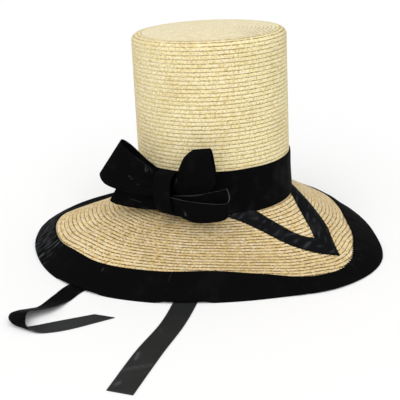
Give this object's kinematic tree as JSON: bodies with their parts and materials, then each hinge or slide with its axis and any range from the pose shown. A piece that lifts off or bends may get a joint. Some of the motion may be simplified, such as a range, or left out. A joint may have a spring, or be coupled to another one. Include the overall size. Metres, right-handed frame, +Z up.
{
  "type": "straw top hat",
  "caption": "Tall oval straw top hat with a wide drooping brim, a velvet band and side bow, a velvet-bound edge, a ruched V on the brim and two ribbon ties.",
  "frame": {"origin": "centre of the bounding box, on the surface that the brim rests on", "axes": "+X along the hat's long way, to the viewer's right, -Y towards the viewer and the loose tie ends, +Z up along the crown"},
  "size_m": [0.4536, 0.553, 0.278],
  "materials": {
    "crown_straw": "plaited straw, slightly glossy",
    "brim_straw": "plaited straw, slightly glossy",
    "binding_velvet": "velvet pile",
    "band_velvet": "velvet pile",
    "bow_left_loop_velvet": "velvet pile",
    "bow_left_tail_loop_velvet": "velvet pile",
    "bow_right_loop_velvet": "velvet pile",
    "bow_side_loop_velvet": "velvet pile",
    "bow_knot_velvet": "velvet pile",
    "trim_near_arm_velvet": "ruched velvet",
    "trim_far_arm_velvet": "ruched velvet",
    "tie_left_ribbon": "velvet ribbon with a satin back",
    "tie_right_ribbon": "velvet ribbon with a satin back"
  },
  "bodies": {
    "root": {"crown": "crown_straw", "brim": "brim_straw", "brim_binding": "binding_velvet", "hat_band": "band_velvet", "bow_left_loop": "bow_left_loop_velvet", "bow_left_tail_loop": "bow_left_tail_loop_velvet", "bow_right_loop": "bow_right_loop_velvet", "bow_side_loop": "bow_side_loop_velvet", "bow_knot": "bow_knot_velvet", "trim_near_arm": "trim_near_arm_velvet", "trim_far_arm": "trim_far_arm_velvet", "tie_left": "tie_left_ribbon", "tie_right": "tie_right_ribbon"}
  },
  "joints": []
}
